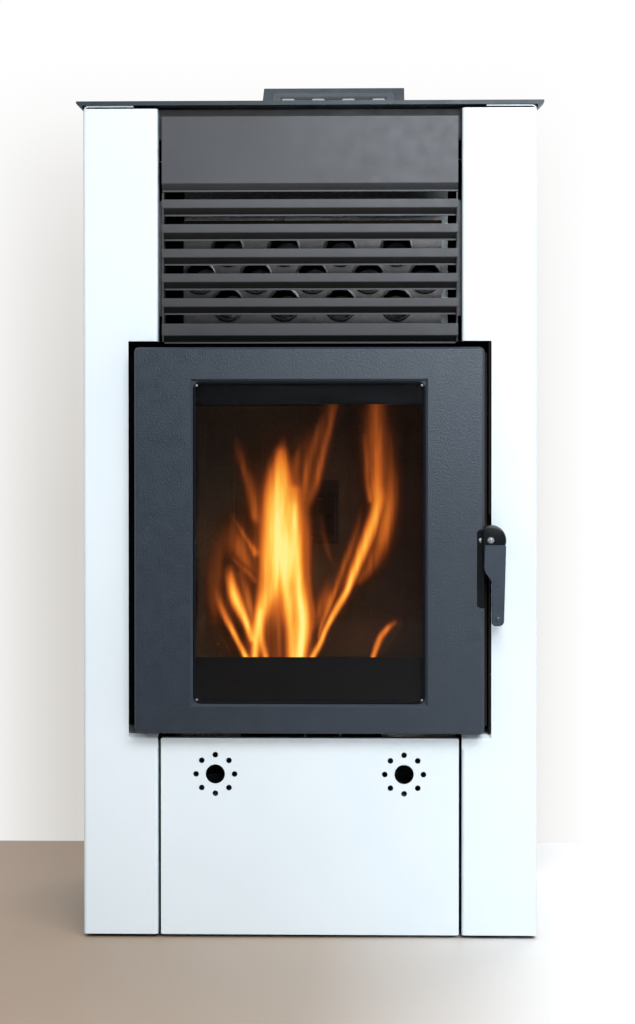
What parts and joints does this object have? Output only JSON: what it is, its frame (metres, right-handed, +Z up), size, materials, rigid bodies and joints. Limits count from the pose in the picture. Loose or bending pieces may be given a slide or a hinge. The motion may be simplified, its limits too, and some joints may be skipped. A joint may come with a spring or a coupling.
{
  "type": "pellet stove",
  "caption": "Free-standing pellet stove with white side casings, glazed fire door with lever latch, louvred warm-air outlet, ash drawer, top control console and rear flue spigot.",
  "frame": {"origin": "centre of the bounding box at floor level, under the feet", "axes": "+Z up, front faces -Y, +X to the right of someone who faces the stove"},
  "size_m": [0.556, 0.5988, 1.0326],
  "materials": {
    "white_paint": "satin white powder coat",
    "dark_plate": "dark grey satin paint",
    "door_paint": "dark blue-grey fine-speckled heatproof paint",
    "grille_paint": "grey-brown satin heatproof paint",
    "black_paint": "matt black heatproof paint",
    "black_gloss": "glossy black",
    "lever_paint": "satin dark grey",
    "steel": "plain steel",
    "zinc": "zinc-plated steel",
    "cast_iron": "bare cast iron",
    "vermiculite": "pressed vermiculite board",
    "rope": "black glass-fibre rope",
    "window_glass": "clear ceramic glass with black printed bands",
    "slate": "slate grey moulded housing",
    "fascia": "printed membrane",
    "key_grey": "pale glossy key"
  },
  "bodies": {
    "stove": {"right_side_casing": "white_paint", "left_side_casing": "white_paint", "top_plate": "dark_plate", "base_tray": "black_paint", "foot_front_left": "zinc", "foot_front_right": "zinc", "foot_rear_left": "zinc", "foot_rear_right": "zinc", "rear_panel": "black_paint", "rear_lower_panel": "black_paint", "front_cross_member": "black_paint", "door_surround": "black_paint", "grille_louvres": "grille_paint", "grille_panel": "grille_paint", "heat_exchanger": "steel", "firebox": "black_paint", "firebox_back_plate": "vermiculite", "baffle_plate": "vermiculite", "burn_pot_holder": "cast_iron", "igniter": "steel", "auger_tube": "steel", "auger_gearmotor": "black_paint", "pellet_hopper": "zinc", "hopper_grate": "zinc", "lid_hinge": "zinc", "console_housing": "slate", "console_fascia": "fascia", "display_window": "black_gloss", "hinge_bracket_lower": "steel", "hinge_bracket_upper": "steel", "latch_keeper": "steel", "drawer_rail_right": "zinc", "drawer_rail_left": "zinc", "exhaust_fan_housing": "zinc", "flue_spigot": "black_paint", "exhaust_motor": "steel", "room_fan_housing": "zinc", "room_fan_motor": "steel", "air_intake_pipe": "zinc", "control_board_box": "black_paint", "power_inlet": "black_gloss"},
    "door": {"door_frame": "door_paint", "door_glass": "window_glass", "glass_retainer": "black_paint", "door_rope_gasket": "rope", "handle_bracket": "black_paint"},
    "handle": {"handle_hub": "black_gloss", "handle_lever": "lever_paint"},
    "ash_drawer": {"lower_front_panel": "white_paint", "ash_box": "steel"},
    "lid": {"hopper_lid": "dark_plate"},
    "key_1_cap": {"key_1": "key_grey"},
    "key_2_cap": {"key_2": "key_grey"},
    "key_3_cap": {"key_3": "key_grey"},
    "key_4_cap": {"key_4": "key_grey"},
    "pot": {"burn_pot": "cast_iron"},
    "auger": {"auger_screw": "steel"},
    "exhaust_wheel": {"exhaust_impeller": "steel"},
    "room_fan_wheel": {"room_fan_rotor": "zinc"},
    "rocker": {"switch_rocker": "black_gloss"}
  },
  "joints": [
    {"name": "door_hinge", "type": "hinge", "parent": "stove", "child": "door", "pos_m": [-0.2, -0.2726, 0.4745], "axis": [0, 0, -1], "range_deg": [0, 105]},
    {"name": "handle_turn", "type": "hinge", "parent": "door", "child": "handle", "pos_m": [0.214, -0.2906, 0.475], "axis": [0, -1, 0], "range_deg": [0, 80]},
    {"name": "drawer_slide", "type": "slide", "parent": "stove", "child": "ash_drawer", "axis": [0, -1, 0], "range_m": [0, 0.19]},
    {"name": "lid_swing", "type": "hinge", "parent": "stove", "child": "lid", "pos_m": [0, 0.2364, 1.0053], "axis": [-1, 0, 0], "range_deg": [0, 100]},
    {"name": "key_1_press", "type": "slide", "parent": "stove", "child": "key_1_cap", "axis": [0, 0.4961, -0.8682], "range_m": [0, 0.001], "stiffness_N_per_m": 1000, "springref_m": -0.0005},
    {"name": "key_2_press", "type": "slide", "parent": "stove", "child": "key_2_cap", "axis": [0, 0.4961, -0.8682], "range_m": [0, 0.001], "stiffness_N_per_m": 1000, "springref_m": -0.0005},
    {"name": "key_3_press", "type": "slide", "parent": "stove", "child": "key_3_cap", "axis": [0, 0.4961, -0.8682], "range_m": [0, 0.001], "stiffness_N_per_m": 1000, "springref_m": -0.0005},
    {"name": "key_4_press", "type": "slide", "parent": "stove", "child": "key_4_cap", "axis": [0, 0.4961, -0.8682], "range_m": [0, 0.001], "stiffness_N_per_m": 1000, "springref_m": -0.0005},
    {"name": "pot_lift", "type": "slide", "parent": "stove", "child": "pot", "axis": [0, 0, 1], "range_m": [0, 0.06]},
    {"name": "auger_spin", "type": "hinge", "parent": "stove", "child": "auger", "pos_m": [0, 0.1694, 0.33], "axis": [0, -0.573, 0.8196], "continuous": true},
    {"name": "exhaust_spin", "type": "hinge", "parent": "stove", "child": "exhaust_wheel", "pos_m": [0.13, 0.0294, 0.115], "axis": [0, 1, 0], "continuous": true},
    {"name": "room_fan_spin", "type": "hinge", "parent": "stove", "child": "room_fan_wheel", "pos_m": [-0.125, 0.0844, 0.115], "axis": [0, 1, 0], "continuous": true},
    {"name": "switch_rock", "type": "hinge", "parent": "stove", "child": "rocker", "pos_m": [-0.205, 0.2556, 0.136], "axis": [1, 0, 0], "range_deg": [0, 12]}
  ]
}
